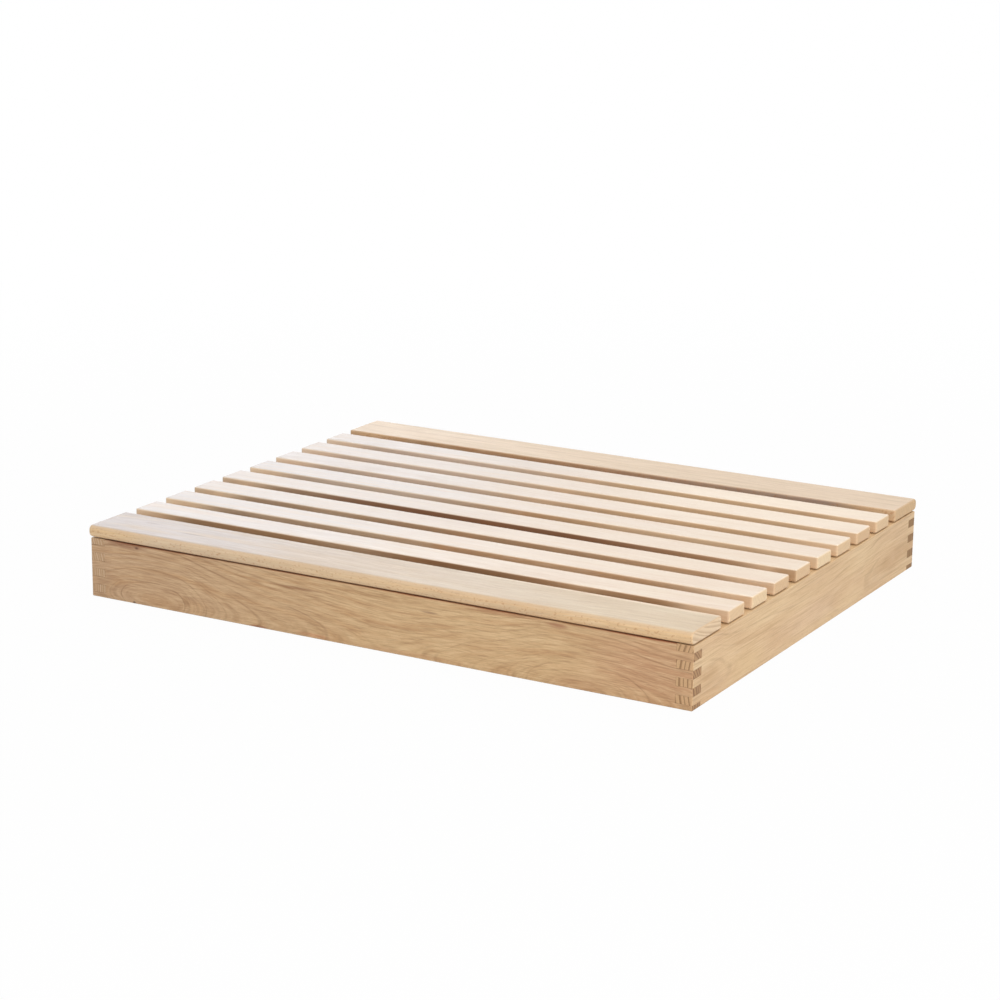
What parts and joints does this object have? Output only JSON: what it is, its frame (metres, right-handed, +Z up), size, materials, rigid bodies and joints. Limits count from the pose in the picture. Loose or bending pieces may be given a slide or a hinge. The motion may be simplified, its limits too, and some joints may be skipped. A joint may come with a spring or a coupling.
{
  "type": "bread board",
  "caption": "Slatted beech bread board: a grate of parallel slats that lifts off a shallow finger-jointed crumb tray.",
  "frame": {"origin": "middle of the tray's footprint, on the surface it stands on", "axes": "+X along the slats and the long walls, +Y from the front edge to the back edge, +Z up"},
  "size_m": [0.4, 0.324, 0.0445],
  "materials": {
    "beech_long_wall": "oiled beech, planed and sanded, warm tan with long straight grain and one arched figure",
    "beech_end_wall": "oiled beech, a little lighter, end grain darker at the finger joints",
    "beech_plywood": "thin beech-faced plywood, sanded and oiled",
    "beech_wide_slat": "pale sanded beech with fine flecks and faint grey-brown grain streaks",
    "beech_narrow_slat": "pale sanded beech, almost cream on the upper faces",
    "beech_cleat": "sanded beech batten",
    "steel_screw": "zinc-plated countersunk wood screw"
  },
  "bodies": {
    "tray": {"front_wall": "beech_long_wall", "back_wall": "beech_long_wall", "left_wall": "beech_end_wall", "right_wall": "beech_end_wall", "crumb_base": "beech_plywood"},
    "grate": {"front_slat": "beech_wide_slat", "slat_1": "beech_narrow_slat", "slat_2": "beech_narrow_slat", "slat_3": "beech_narrow_slat", "slat_4": "beech_narrow_slat", "slat_5": "beech_narrow_slat", "slat_6": "beech_narrow_slat", "slat_7": "beech_narrow_slat", "slat_8": "beech_narrow_slat", "back_slat": "beech_wide_slat", "left_cleat": "beech_cleat", "middle_cleat": "beech_cleat", "right_cleat": "beech_cleat", "left_cleat_screw_1": "steel_screw", "left_cleat_screw_2": "steel_screw", "left_cleat_screw_3": "steel_screw", "left_cleat_screw_4": "steel_screw", "left_cleat_screw_5": "steel_screw", "left_cleat_screw_6": "steel_screw", "left_cleat_screw_7": "steel_screw", "left_cleat_screw_8": "steel_screw", "left_cleat_screw_9": "steel_screw", "left_cleat_screw_10": "steel_screw", "middle_cleat_screw_1": "steel_screw", "middle_cleat_screw_2": "steel_screw", "middle_cleat_screw_3": "steel_screw", "middle_cleat_screw_4": "steel_screw", "middle_cleat_screw_5": "steel_screw", "middle_cleat_screw_6": "steel_screw", "middle_cleat_screw_7": "steel_screw", "middle_cleat_screw_8": "steel_screw", "middle_cleat_screw_9": "steel_screw", "middle_cleat_screw_10": "steel_screw", "right_cleat_screw_1": "steel_screw", "right_cleat_screw_2": "steel_screw", "right_cleat_screw_3": "steel_screw", "right_cleat_screw_4": "steel_screw", "right_cleat_screw_5": "steel_screw", "right_cleat_screw_6": "steel_screw", "right_cleat_screw_7": "steel_screw", "right_cleat_screw_8": "steel_screw", "right_cleat_screw_9": "steel_screw", "right_cleat_screw_10": "steel_screw"}
  },
  "joints": [
    {"name": "grate_lift", "type": "slide", "parent": "tray", "child": "grate", "axis": [0, 0, 1], "range_m": [0, 0.06]}
  ]
}
